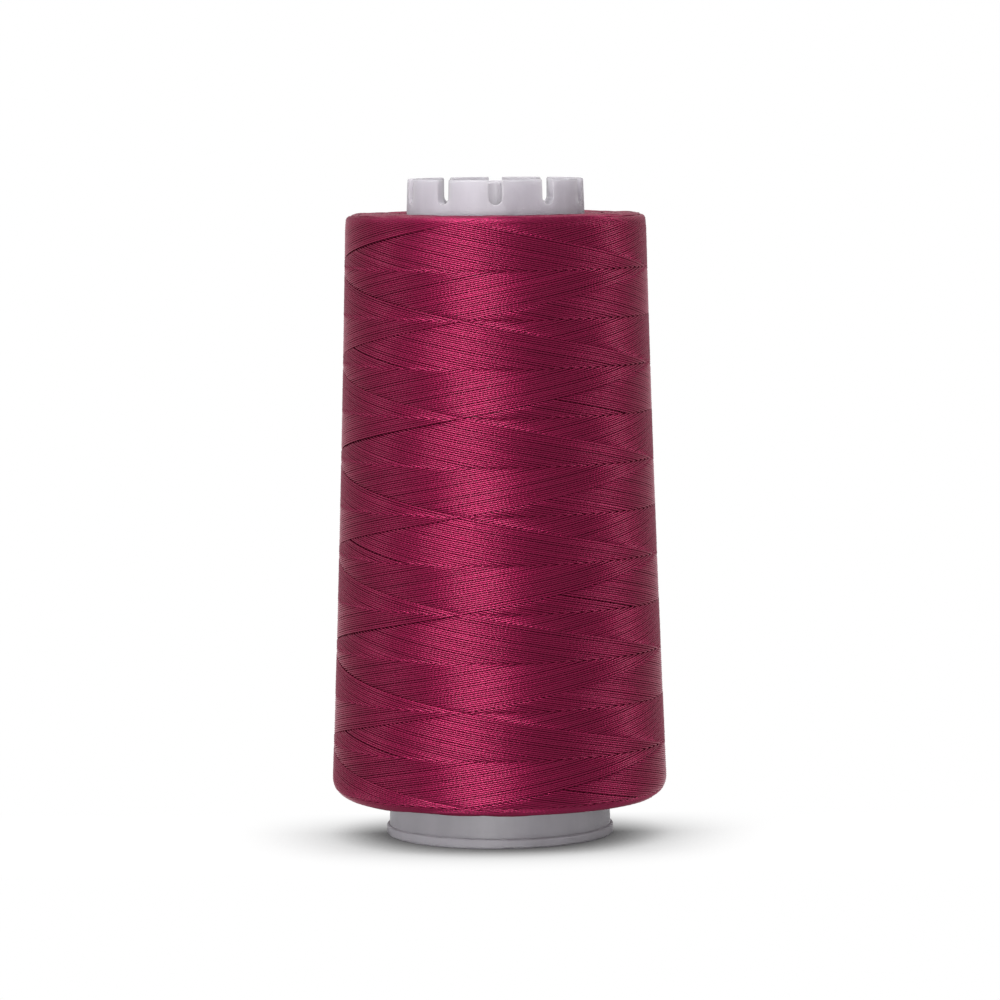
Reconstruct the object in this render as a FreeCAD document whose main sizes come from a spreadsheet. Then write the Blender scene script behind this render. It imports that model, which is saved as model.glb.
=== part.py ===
import FreeCAD, Part
import math
import os

import Sketcher

# A small cone of quilting thread, in millimetres, standing on z = 0 with +Z up and its axis on Z.
# A tapered translucent tube carries the cross-wound thread. The tube shows as a short foot below the
# thread and as a notched crown above it. A spoked hub is pressed into the crown and a closed hub into
# the foot, each with a bush for the machine's spool pin. A blank paper ring is stuck under the foot hub.

doc = FreeCAD.newDocument("thread_cone")
sheet = doc.addObject("Spreadsheet::Sheet", "Sizes")

# Lengths that differ by less than SAME are one, and a cut under LEAST_CUT cubic millimetres is none.
SAME = 1e-4
LEAST_CUT = 1e-3

# Each size is its name, its value in millimetres or as a count or share, and what it means.
SIZES = [
    # The tube
    ("overall_height", 98.4, "floor to the top of the crown"),
    ("foot_radius", 16.7, "outside of the tube at the floor"),
    ("neck_radius", 13.1, "outside of the tube at the top of the crown"),
    ("tube_wall", 1.3, "wall of the tube"),
    ("foot_rim_height", 1.5, "height of the rolled rim at the floor"),
    ("foot_rim_out", 0.35, "how far the rolled rim stands out"),
    ("rim_round", 0.3, "rounding of the crown and foot edges"),
    ("round_share", 0.45, "largest share of a wall or step that one of its two roundings takes"),
    ("notch_count", 10, "thread-catching notches round the crown"),
    ("notch_width", 2.0, "width of a notch"),
    ("notch_depth", 3.7, "depth of a notch"),
    ("rib_count", 6, "inner ribs that the winder's mandrel turned"),
    ("rib_width", 1.2, "width of an inner rib"),
    ("rib_reach", 30.0, "length of an inner rib above the foot ledge"),
    ("rib_height", 0.6, "how far an inner rib stands in from the wall"),
    # The thread
    ("foot_exposed", 5.6, "bare foot below the thread"),
    ("neck_exposed", 5.15, "bare crown above the thread"),
    ("thread_foot_radius", 25.3, "outside of the thread at its lower edge"),
    ("thread_neck_radius", 22.45, "outside of the thread at its upper edge"),
    ("thread_waist", 0.22, "how far the long face is hollowed between its edges"),
    ("thread_foot_round", 3.0, "rounding of the lower shoulder"),
    ("thread_neck_round", 1.0, "rounding of the upper shoulder"),
    ("thread_gap", 0.02, "gap between the thread and the tube"),
    # The hubs
    ("pin_bore_radius", 3.6, "bore for the spool pin in both bushes"),
    ("bush_wall", 1.2, "wall of both bushes"),
    ("bush_lead", 0.5, "chamfer at the bush mouths"),
    ("hub_fit", 0.02, "gap round each pressed-in hub"),
    ("hub_wall", 1.2, "wall of each hub's outer ring"),
    ("hub_round", 0.3, "rounding of the hubs' upper edges"),
    ("nose_seat_depth", 12.6, "top of the crown down to the nose hub's ledge"),
    ("nose_ring_sunk", 6.1, "top of the crown down to the top of the nose hub's ring"),
    ("nose_bush_drop", 3.0, "how far the nose bush hangs below its ring"),
    ("nose_bush_sunk", 0.4, "top of the crown down to the top of the nose bush"),
    ("ledge_width", 0.9, "width of the ledge under the nose hub"),
    ("ledge_height", 1.2, "height of that ledge"),
    ("spoke_count", 5, "spokes of the nose hub"),
    ("spoke_width", 1.4, "thickness of a spoke"),
    ("spoke_height", 4.5, "height of a spoke"),
    ("base_seat_height", 4.5, "floor up to the ledge that stops the foot hub"),
    ("base_ledge_width", 0.5, "width of that ledge"),
    ("base_ring_recess", 0.4, "floor up to the foot hub's ring"),
    ("base_web_recess", 1.3, "floor up to the foot hub's closed web"),
    ("base_web", 1.3, "thickness of that web"),
    ("base_bush_height", 5.0, "height of the foot hub's bush above its web"),
    ("gusset_count", 6, "gussets between the foot hub's bush and ring"),
    ("gusset_width", 1.1, "thickness of a gusset"),
    ("gusset_drop", 0.6, "top of the foot hub's ring or bush down to a gusset's sloping edge"),
    # The label
    ("label_thickness", 0.15, "paper ring's thickness"),
    ("label_margin", 0.8, "bare web left beside the paper ring"),
]
for row, (alias, value, meaning) in enumerate(SIZES, 1):
    sheet.set(f"A{row}", alias)
    sheet.set(f"B{row}", str(value))
    sheet.setAlias(f"B{row}", alias)
    sheet.set(f"C{row}", meaning)
doc.recompute()


def tube_outside(height):
    """The expression for the tube's outer radius at a height, which is an expression too."""
    taper = "(Sizes.foot_radius - Sizes.neck_radius) / Sizes.overall_height"
    return f"(Sizes.foot_radius - {taper} * ({height}))"


def number(expression):
    """The value of an expression of the sheet's sizes."""
    return float(sheet.evalExpression(expression.replace("Sizes.", "")))


# Heights and radii that several pieces share
TOP = "Sizes.overall_height"
THREAD_LOW = "Sizes.foot_exposed"
THREAD_HIGH = "(Sizes.overall_height - Sizes.neck_exposed)"
NOSE_LEDGE = "(Sizes.overall_height - Sizes.nose_seat_depth)"
NOSE_SEAT_RADIUS = "(Sizes.neck_radius - Sizes.tube_wall)"
BASE_LEDGE = "Sizes.base_seat_height"
BASE_SEAT_RADIUS = f"({tube_outside(BASE_LEDGE)} - Sizes.tube_wall + Sizes.base_ledge_width)"
BUSH_RADIUS = "(Sizes.pin_bore_radius + Sizes.bush_wall)"
WEB_LOW = "Sizes.base_web_recess"
WEB_HIGH = "(Sizes.base_web_recess + Sizes.base_web)"
UPPER_ROUND = "min(Sizes.hub_round; Sizes.round_share * min(Sizes.bush_wall; Sizes.hub_wall))"
BUSH_LEAD = "min(Sizes.bush_lead; Sizes.round_share * Sizes.bush_wall)"


def new_body(label):
    """An empty body whose label names the piece and its file."""
    body = doc.addObject("PartDesign::Body", label)
    body.Label = label
    return body


def new_sketch(body, name, plane, height=None):
    """A sketch on one of the body's origin planes, raised by an expression if one is given."""
    sketch = body.newObject("Sketcher::SketchObject", name)
    support = next(f for f in body.Origin.OriginFeatures if f.Role == plane)
    sketch.AttachmentSupport = [(support, "")]
    sketch.MapMode = "FlatFace"
    if height is not None:
        sketch.setExpression("AttachmentOffset.Base.z", height)
    doc.recompute()
    return sketch


def bind(sketch, constraint, expression):
    """Adds a constraint and binds its value to an expression."""
    index = sketch.addConstraint(constraint)
    sketch.setExpression(f"Constraints[{index}]", expression)


def outline(sketch, points, arcs=None):
    """Draws a closed outline through points, each a pair of expressions, and binds every corner.

    arcs maps the number of an edge to (kind, expression, side). kind is Radius, or CentreY for the
    height of the arc's centre. side is 1 where the arc bows to the left of its way, and -1 to the right.
    """
    arcs = arcs or {}
    corners = [FreeCAD.Vector(number(x), number(y), 0) for x, y in points]
    edges = []
    for i, start in enumerate(corners):
        end = corners[(i + 1) % len(corners)]
        if i in arcs:
            kind, expression, side = arcs[i]
            along = end - start
            left = FreeCAD.Vector(-along.y, along.x, 0).normalize()
            middle = (start + end) * 0.5
            half = along.Length / 2
            if kind == "Radius":
                radius = number(expression)
                bow = radius - math.sqrt(radius * radius - half * half)
            else:
                off_centre = abs(middle.y - number(expression))
                bow = math.hypot(half, off_centre) - off_centre
            edge = sketch.addGeometry(Part.Arc(start, middle + left * (side * bow), end), False)
        else:
            edge = sketch.addGeometry(Part.LineSegment(start, end), False)
        forward = sketch.getPoint(edge, 1).distanceToPoint(start) < SAME
        edges.append((edge, 1, 2) if forward else (edge, 2, 1))
    for i, (edge, _, last) in enumerate(edges):
        following, first, _ = edges[(i + 1) % len(edges)]
        sketch.addConstraint(Sketcher.Constraint("Coincident", edge, last, following, first))
    for (edge, first, _), corner, (x, y) in zip(edges, corners, points):
        bind(sketch, Sketcher.Constraint("DistanceX", edge, first, corner.x), x)
        bind(sketch, Sketcher.Constraint("DistanceY", edge, first, corner.y), y)
    for i, (kind, expression, _) in arcs.items():
        edge = edges[i][0]
        if kind == "Radius":
            bind(sketch, Sketcher.Constraint("Radius", edge, number(expression)), expression)
        else:
            bind(sketch, Sketcher.Constraint("DistanceY", edge, 3, number(expression)), expression)
    doc.recompute()
    return sketch


def revolve(body, name, points, arcs=None):
    """A solid of revolution about Z from an outline of (radius, height) pairs."""
    sketch = outline(new_sketch(body, name + "_outline", "XZ_Plane"), points, arcs)
    turned = body.newObject("PartDesign::Revolution", name)
    turned.Profile = sketch
    turned.ReferenceAxis = (sketch, ["V_Axis"])
    turned.Angle = 360
    doc.recompute()
    return turned


def around(body, name, feature, count):
    """Repeats a feature evenly about Z."""
    pattern = body.newObject("PartDesign::PolarPattern", name)
    pattern.Originals = [feature]
    pattern.Axis = (next(f for f in body.Origin.OriginFeatures if f.Role == "Z_Axis"), [""])
    pattern.Angle = 360
    pattern.setExpression("Occurrences", count)
    body.Tip = pattern
    doc.recompute()
    return pattern


def cut(body, name, sketch, depth):
    """A pocket of some depth on whichever side of its sketch takes material away."""
    before = body.Shape.Volume
    pocket = body.newObject("PartDesign::Pocket", name)
    pocket.Profile = sketch
    pocket.setExpression("Length", depth)
    doc.recompute()
    if before - body.Shape.Volume < LEAST_CUT:
        pocket.Reversed = True
        doc.recompute()
    if before - body.Shape.Volume < LEAST_CUT:
        raise RuntimeError(f"{name} takes nothing away from {body.Label}")
    return pocket


def raise_up(body, name, sketch, height, midplane=False):
    """A pad of some height above its sketch, or half of it on each side."""
    pad = body.newObject("PartDesign::Pad", name)
    pad.Profile = sketch
    pad.Midplane = midplane
    pad.setExpression("Length", height)
    doc.recompute()
    return pad


def rings(feature, radius, height):
    """The names of a feature's full circles of one radius at one height, both expressions."""
    found = []
    for i, edge in enumerate(feature.Shape.Edges, 1):
        curve = edge.Curve
        if isinstance(curve, Part.Circle) and edge.isClosed():
            if abs(curve.Radius - number(radius)) < SAME and abs(curve.Center.z - number(height)) < SAME:
                found.append(f"Edge{i}")
    if not found:
        raise RuntimeError(f"{feature.Name} has no circle of {radius} at {height}")
    return found


def dress(body, name, kind, feature, edges, amount):
    """A fillet or chamfer on some edges of a feature."""
    dressing = body.newObject(f"PartDesign::{kind}", name)
    dressing.Base = (feature, edges)
    dressing.setExpression("Radius" if kind == "Fillet" else "Size", amount)
    doc.recompute()
    return dressing


def make_core_tube():
    """The tapered tube: rolled foot rim, two inner seats with ledges, notched crown and inner ribs."""
    body = new_body("core_tube")
    rim = "Sizes.foot_rim_height"
    rim_radius = "(Sizes.foot_radius + Sizes.foot_rim_out)"
    under_ledge = f"({NOSE_LEDGE} - Sizes.ledge_height)"
    ledge_radius = f"({NOSE_SEAT_RADIUS} - Sizes.ledge_width)"
    wall = revolve(
        body,
        "tube",
        [
            (BASE_SEAT_RADIUS, "0"),
            (rim_radius, "0"),
            (rim_radius, rim),
            (tube_outside(rim), rim),
            ("Sizes.neck_radius", TOP),
            (NOSE_SEAT_RADIUS, TOP),
            (NOSE_SEAT_RADIUS, NOSE_LEDGE),
            (ledge_radius, NOSE_LEDGE),
            (ledge_radius, under_ledge),
            (f"({tube_outside(under_ledge)} - Sizes.tube_wall)", under_ledge),
            (f"({tube_outside(BASE_LEDGE)} - Sizes.tube_wall)", BASE_LEDGE),
            (BASE_SEAT_RADIUS, BASE_LEDGE),
        ],
    )
    foot_edges = rings(wall, rim_radius, "0") + rings(wall, rim_radius, rim)
    # The rim's step is rounded on its outer side alone, so that rounding may take both shares.
    step_share = "2 * Sizes.round_share * Sizes.foot_rim_out"
    foot_round = f"min(Sizes.rim_round; {step_share}; Sizes.round_share * Sizes.foot_rim_height)"
    rounded = dress(body, "foot_rounding", "Fillet", wall, foot_edges, foot_round)
    crown_edges = rings(rounded, "Sizes.neck_radius", TOP) + rings(rounded, NOSE_SEAT_RADIUS, TOP)
    crown_round = "min(Sizes.rim_round; Sizes.round_share * Sizes.tube_wall)"
    dress(body, "crown_rounding", "Fillet", rounded, crown_edges, crown_round)

    half_width = "Sizes.notch_width / 2"
    floor = f"({TOP} - Sizes.notch_depth)"
    above = f"({TOP} + Sizes.notch_width)"
    notch = outline(
        new_sketch(body, "notch_outline", "XZ_Plane"),
        [
            (f"-{half_width}", above),
            (f"-{half_width}", f"{floor} + {half_width}"),
            (half_width, f"{floor} + {half_width}"),
            (half_width, above),
        ],
        {1: ("CentreY", f"{floor} + {half_width}", -1)},
    )
    around(body, "crown_notches", cut(body, "notch", notch, "Sizes.neck_radius * 2"), "Sizes.notch_count")

    rib_top = f"({BASE_LEDGE} + Sizes.rib_reach)"
    rib = outline(
        new_sketch(body, "rib_outline", "XZ_Plane"),
        [
            (f"({tube_outside(BASE_LEDGE)} - Sizes.tube_wall - Sizes.rib_height)", BASE_LEDGE),
            (f"({tube_outside(BASE_LEDGE)} - Sizes.tube_wall / 2)", BASE_LEDGE),
            (f"({tube_outside(rib_top)} - Sizes.tube_wall / 2)", rib_top),
            (f"({tube_outside(rib_top)} - Sizes.tube_wall - Sizes.rib_height)", rib_top),
        ],
    )
    raised = raise_up(body, "rib", rib, "Sizes.rib_width", midplane=True)
    around(body, "mandrel_ribs", raised, "Sizes.rib_count")
    return body


def make_nose_hub():
    """The spoked hub pressed into the crown: an outer ring, spokes and a bush for the spool pin."""
    body = new_body("nose_hub")
    ring_radius = f"({NOSE_SEAT_RADIUS} - Sizes.hub_fit)"
    ring_inside = f"({ring_radius} - Sizes.hub_wall)"
    ring_top = f"({TOP} - Sizes.nose_ring_sunk)"
    spoke_top = f"({NOSE_LEDGE} + Sizes.spoke_height)"
    bush_low = f"({NOSE_LEDGE} - Sizes.nose_bush_drop)"
    bush_top = f"({TOP} - Sizes.nose_bush_sunk)"
    bore = "Sizes.pin_bore_radius"
    hub = revolve(
        body,
        "hub",
        [
            (bore, bush_low),
            (BUSH_RADIUS, bush_low),
            (BUSH_RADIUS, NOSE_LEDGE),
            (ring_radius, NOSE_LEDGE),
            (ring_radius, ring_top),
            (ring_inside, ring_top),
            (ring_inside, spoke_top),
            (BUSH_RADIUS, spoke_top),
            (BUSH_RADIUS, bush_top),
            (bore, bush_top),
        ],
    )
    mouths = rings(hub, bore, bush_low) + rings(hub, bore, bush_top)
    led = dress(body, "bush_lead_in", "Chamfer", hub, mouths, BUSH_LEAD)
    upper = rings(led, BUSH_RADIUS, bush_top) + rings(led, ring_inside, ring_top)
    dress(body, "upper_rounding", "Fillet", led, upper, UPPER_ROUND)

    # One window reaches from the side of one spoke to the side of the next.
    half_pitch = "(180 deg / Sizes.spoke_count)"
    half_spoke = "(Sizes.spoke_width / 2)"

    def window_corner(radius, side):
        """A corner of the window on a circle, where half a spoke's thickness is left beside it."""
        turn = f"({half_pitch} - asin({half_spoke} / {radius}))"
        return (f"{radius} * cos({turn})", f"{side} * {radius} * sin({turn})")

    window = outline(
        new_sketch(body, "window_outline", "XY_Plane", f"{NOSE_LEDGE} - Sizes.nose_bush_drop / 2"),
        [
            window_corner(BUSH_RADIUS, -1),
            window_corner(ring_inside, -1),
            window_corner(ring_inside, 1),
            window_corner(BUSH_RADIUS, 1),
        ],
        {1: ("Radius", ring_inside, -1), 3: ("Radius", BUSH_RADIUS, 1)},
    )
    opening = cut(body, "window", window, "Sizes.spoke_height + Sizes.nose_bush_drop")
    around(body, "spoke_windows", opening, "Sizes.spoke_count")
    return body


def make_base_hub():
    """The closed hub pressed into the foot: an outer ring, a web, gussets and a bush for the spool pin."""
    body = new_body("base_hub")
    ring_radius = f"({BASE_SEAT_RADIUS} - Sizes.hub_fit)"
    ring_inside = f"({ring_radius} - Sizes.hub_wall)"
    ring_low = "Sizes.base_ring_recess"
    bush_top = f"({WEB_HIGH} + Sizes.base_bush_height)"
    bore = "Sizes.pin_bore_radius"
    hub = revolve(
        body,
        "hub",
        [
            (bore, WEB_LOW),
            (ring_inside, WEB_LOW),
            (ring_inside, ring_low),
            (ring_radius, ring_low),
            (ring_radius, BASE_LEDGE),
            (ring_inside, BASE_LEDGE),
            (ring_inside, WEB_HIGH),
            (BUSH_RADIUS, WEB_HIGH),
            (BUSH_RADIUS, bush_top),
            (bore, bush_top),
        ],
    )
    mouths = rings(hub, bore, WEB_LOW) + rings(hub, bore, bush_top)
    led = dress(body, "bush_lead_in", "Chamfer", hub, mouths, BUSH_LEAD)
    upper = rings(led, BUSH_RADIUS, bush_top)
    dress(body, "upper_rounding", "Fillet", led, upper, UPPER_ROUND)

    # A gusset slopes from just under the bush's top to just under the ring's.
    inner_end = f"({BUSH_RADIUS} - Sizes.bush_wall / 2)"
    outer_end = f"({ring_radius} - Sizes.hub_wall / 2)"
    gusset = outline(
        new_sketch(body, "gusset_outline", "XZ_Plane"),
        [
            (inner_end, f"({WEB_HIGH} - Sizes.base_web / 2)"),
            (outer_end, f"({WEB_HIGH} - Sizes.base_web / 2)"),
            (outer_end, f"({BASE_LEDGE} - Sizes.gusset_drop)"),
            (BUSH_RADIUS, f"({bush_top} - Sizes.gusset_drop)"),
            (inner_end, f"({bush_top} - Sizes.gusset_drop)"),
        ],
    )
    raised = raise_up(body, "gusset", gusset, "Sizes.gusset_width", midplane=True)
    around(body, "gussets", raised, "Sizes.gusset_count")
    return body


def make_base_label():
    """The blank paper ring stuck to the underside of the foot hub's web."""
    body = new_body("base_label")
    inside = "(Sizes.pin_bore_radius + Sizes.bush_lead + Sizes.label_margin)"
    outside = f"({BASE_SEAT_RADIUS} - Sizes.hub_fit - Sizes.hub_wall - Sizes.label_margin)"
    low = f"({WEB_LOW} - Sizes.label_thickness)"
    revolve(body, "paper", [(inside, low), (outside, low), (outside, WEB_LOW), (inside, WEB_LOW)])
    return body


def make_thread_package():
    """The wound thread: one long tapered face, a little hollow, between two rounded shoulders."""
    body = new_body("thread_package")
    rise = f"({THREAD_HIGH} - {THREAD_LOW})"
    draw_in = "(Sizes.thread_foot_radius - Sizes.thread_neck_radius)"
    sagitta_radius = f"(({rise} ^ 2 + {draw_in} ^ 2) / (8 * Sizes.thread_waist) + Sizes.thread_waist / 2)"
    wound = revolve(
        body,
        "wound",
        [
            (f"({tube_outside(THREAD_LOW)} + Sizes.thread_gap)", THREAD_LOW),
            ("Sizes.thread_foot_radius", THREAD_LOW),
            ("Sizes.thread_neck_radius", THREAD_HIGH),
            (f"({tube_outside(THREAD_HIGH)} + Sizes.thread_gap)", THREAD_HIGH),
        ],
        {1: ("Radius", sagitta_radius, 1)},
    )
    low_edge = rings(wound, "Sizes.thread_foot_radius", THREAD_LOW)
    lower = dress(body, "lower_shoulder", "Fillet", wound, low_edge, "Sizes.thread_foot_round")
    high_edge = rings(lower, "Sizes.thread_neck_radius", THREAD_HIGH)
    dress(body, "upper_shoulder", "Fillet", lower, high_edge, "Sizes.thread_neck_round")
    return body


pieces = [make_core_tube(), make_nose_hub(), make_base_hub(), make_base_label(), make_thread_package()]
doc.recompute()

for item in doc.Objects:
    if "Invalid" in item.State or "Error" in item.State:
        raise RuntimeError(f"{item.Label} failed: {item.State}")
for piece in pieces:
    shape = piece.Shape
    if shape.isNull() or not shape.isValid() or len(shape.Solids) != 1 or shape.Volume <= 0:
        raise RuntimeError(f"{piece.Label} has no sound solid")

os.makedirs("parts", exist_ok=True)
for piece in pieces:
    piece.Shape.exportStep(f"parts/{piece.Label}.step")
    box = piece.Shape.optimalBoundingBox(False, False)
    extent = f"z {box.ZMin:6.2f} to {box.ZMax:6.2f}, radius {box.XMax:6.2f}"
    print(f"{piece.Label:16s} {piece.Shape.Volume:10.1f} mm3, {extent}")
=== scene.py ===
"""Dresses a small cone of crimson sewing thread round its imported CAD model.

The tube, its two pressed-in hubs and the paper ring keep their CAD shapes and get moulded
plastic and paper. The wound thread is laid strand by strand: one long thread runs up and down
the package in crossing helices over a closed ground, and short turning arcs cover the two end
faces. Every length is in metres unless a name or docstring says otherwise, and every azimuth is
in turns about the tube's axis, from the front, -Y, towards +X.
"""

import logging
import math
from dataclasses import dataclass, field
from enum import Enum
from functools import cached_property

import bpy
import numpy as np
from mathutils import Matrix, Vector

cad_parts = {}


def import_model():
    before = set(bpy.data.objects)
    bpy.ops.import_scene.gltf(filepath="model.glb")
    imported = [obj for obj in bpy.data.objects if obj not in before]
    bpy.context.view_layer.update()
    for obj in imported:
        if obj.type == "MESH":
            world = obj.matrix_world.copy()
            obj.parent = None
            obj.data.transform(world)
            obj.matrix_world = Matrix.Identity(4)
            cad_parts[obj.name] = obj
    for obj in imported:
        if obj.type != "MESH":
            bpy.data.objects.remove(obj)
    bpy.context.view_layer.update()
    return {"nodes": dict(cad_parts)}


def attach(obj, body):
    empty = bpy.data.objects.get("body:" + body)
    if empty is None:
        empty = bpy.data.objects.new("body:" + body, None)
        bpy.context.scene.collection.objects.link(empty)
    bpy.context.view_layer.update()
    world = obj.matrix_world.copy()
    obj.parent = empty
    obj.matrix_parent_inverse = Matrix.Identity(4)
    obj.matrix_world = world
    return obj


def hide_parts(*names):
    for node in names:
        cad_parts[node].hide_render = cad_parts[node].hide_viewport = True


LOG = logging.getLogger("thread_cone")
Array = np.ndarray
Values = np.ndarray | float
Piece = bpy.types.Object
Socket = bpy.types.NodeSocket
Triple = tuple[float, float, float]
Feed = Socket | float | tuple[float, ...]
PACKAGE_NODE = "thread_package"
RUN_MAP = "thread_run"
BAKE_MAP = "OFBake"
TURN = 2.0 * math.pi
MM_PER_M = 1000.0
NOISE_LOW = 0.3
NOISE_HIGH = 0.7


class EndFace(Enum):
    """The two flat ends of the wound package."""

    FOOT = "foot"
    NECK = "neck"


class Way(Enum):
    """The way in which a stroke of the thread climbs as it turns towards +X."""

    UP = 1
    DOWN = -1


@dataclass(frozen=True)
class Grain:
    """One noise of a finish: how often it varies in a unit, its finer octaves and its stretch."""

    scale: float
    detail: float = 2.0
    rough: float = 0.5
    stretch: Triple | None = None


class NodeBoard:
    """Lays the nodes of one material, or of the world, and joins them."""

    def __init__(self, owner: bpy.types.Material | bpy.types.World) -> None:
        """Leaves the owner with nothing but an output.

        Args:
            owner: the material or the world.
        """
        owner.use_nodes = True
        self.owner = owner
        self.tree = owner.node_tree
        self.tree.nodes.clear()
        of_world = isinstance(owner, bpy.types.World)
        self.out = self.add("ShaderNodeOutputWorld" if of_world else "ShaderNodeOutputMaterial")

    def add(self, kind: str, **settings: object) -> bpy.types.Node:
        """Adds one node.

        Args:
            kind: Blender's name of the node.
            settings: properties to set on it.

        Returns:
            The new node.
        """
        node = self.tree.nodes.new(kind)
        for key, value in settings.items():
            setattr(node, key, value)
        return node

    def feed(self, socket: Socket, value: Feed) -> None:
        """Sets a socket to a number or colour, or joins another socket to it.

        Args:
            socket: the input to feed.
            value: a number, a colour, or an output of another node.
        """
        if isinstance(value, Socket):
            self.tree.links.new(value, socket)
        else:
            socket.default_value = value

    def fed(self, kind: str, *values: Feed, **settings: object) -> bpy.types.Node:
        """Adds one node and feeds its first inputs.

        Args:
            kind: Blender's name of the node.
            values: what its inputs get, in their order.
            settings: properties to set on it.

        Returns:
            The new node.
        """
        node = self.add(kind, **settings)
        for socket, value in zip(node.inputs, values):
            self.feed(socket, value)
        return node

    def math(self, operation: str, *values: Feed) -> Socket:
        """Works out one step of arithmetic, which operation names as Blender does."""
        return self.fed("ShaderNodeMath", *values, operation=operation).outputs[0]

    def total(self, base: float, *parts: tuple[Feed, float]) -> Feed:
        """Adds up values, each times its own weight.

        Args:
            base: what the sum starts from.
            parts: each value with its weight.

        Returns:
            The sum.
        """
        result: Feed = base
        for value, weight in parts:
            result = self.math("MULTIPLY_ADD", value, weight, result)
        return result

    def vector(self, x: Feed, y: Feed) -> Socket:
        """Joins two values to a level vector."""
        return self.fed("ShaderNodeCombineXYZ", x, y).outputs[0]

    def split(self, vector: Socket) -> list[Socket]:
        """Takes a vector apart into its three values."""
        return list(self.fed("ShaderNodeSeparateXYZ", vector).outputs)

    def place(self) -> Socket:
        """Gives the object's own coordinates, in metres."""
        return self.add("ShaderNodeTexCoord").outputs["Object"]

    def noise(self, place: Socket, grain: Grain) -> Socket:
        """Adds a noise that runs from about NOISE_LOW to NOISE_HIGH.

        Args:
            place: the coordinates to read it at.
            grain: its settings.

        Returns:
            The noise's value.
        """
        if grain.stretch is not None:
            stretched = self.add("ShaderNodeMapping")
            self.feed(stretched.inputs["Vector"], place)
            self.feed(stretched.inputs["Scale"], grain.stretch)
            place = stretched.outputs[0]
        node = self.add("ShaderNodeTexNoise")
        self.feed(node.inputs["Vector"], place)
        self.feed(node.inputs["Scale"], grain.scale)
        self.feed(node.inputs["Detail"], grain.detail)
        self.feed(node.inputs["Roughness"], grain.rough)
        return node.outputs["Fac"]

    def spread(
        self, value: Feed, low: float, high: float, to_low: float = 0.0, to_high: float = 1.0
    ) -> Socket:
        """Maps a value from low and high to to_low and to_high, and keeps it between those."""
        return self.fed("ShaderNodeMapRange", value, low, high, to_low, to_high).outputs[0]

    def opened(self, noise: Socket, low: float = 0.0, high: float = 1.0) -> Socket:
        """Maps a noise's usual range to another, from low to high."""
        return self.spread(noise, NOISE_LOW, NOISE_HIGH, low, high)

    def blend(self, share: Feed, first: Triple, second: Triple) -> Socket:
        """Mixes two colours.

        Args:
            share: how much there is of the second.
            first: the colour at 0.
            second: the colour at 1.

        Returns:
            The mixed colour.
        """
        node = self.add("ShaderNodeMix", data_type="RGBA", clamp_factor=True)
        self.feed(node.inputs["Factor"], share)
        colours = [socket for socket in node.inputs if socket.type == "RGBA"]
        for socket, colour in zip(colours, (first, second)):
            self.feed(socket, (*colour, 1.0))
        return next(socket for socket in node.outputs if socket.type == "RGBA")

    def bump(self, height: Feed, distance: float, strength: float = 1.0) -> Socket:
        """Turns a height into a bent normal.

        Args:
            height: the height, from 0 to 1.
            distance: what a height of 1 is, in metres.
            strength: how much of it shows.

        Returns:
            The normal's socket.
        """
        node = self.add("ShaderNodeBump")
        self.feed(node.inputs["Strength"], strength)
        self.feed(node.inputs["Distance"], distance)
        self.feed(node.inputs["Height"], height)
        return node.outputs["Normal"]

    def sight(self, by_gloss: float, at_least: float) -> Socket:
        """Gives 1 to rays of sight, and less to rays of light.

        Args:
            by_gloss: what sight by a glossy surface gets.
            at_least: what every other ray gets.

        Returns:
            The value for each ray.
        """
        rays = self.add("ShaderNodeLightPath").outputs
        seen = self.math("MAXIMUM", rays["Is Camera Ray"], rays["Is Transmission Ray"])
        mirrored = self.math("MULTIPLY", rays["Is Glossy Ray"], by_gloss)
        return self.math("MAXIMUM", self.math("MAXIMUM", seen, mirrored), at_least)

    def mixed(self, share: Feed, first: bpy.types.Node, second: bpy.types.Node) -> bpy.types.Node:
        """Mixes two shaders, with share for how much there is of the second."""
        return self.fed("ShaderNodeMixShader", share, first.outputs[0], second.outputs[0])

    def close(self, shader: bpy.types.Node) -> None:
        """Joins the last shader to the output."""
        self.feed(self.out.inputs["Surface"], shader.outputs[0])

    def dress(self, **values: Feed) -> bpy.types.Material:
        """Adds the surface shader and joins it to the output.

        Args:
            values: what to set on it, with each space of a socket's name written as _.

        Returns:
            The finished material.
        """
        shader = self.add("ShaderNodeBsdfPrincipled")
        for key, value in values.items():
            self.feed(shader.inputs[key.replace("_", " ")], value)
        self.close(shader)
        return self.owner


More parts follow.
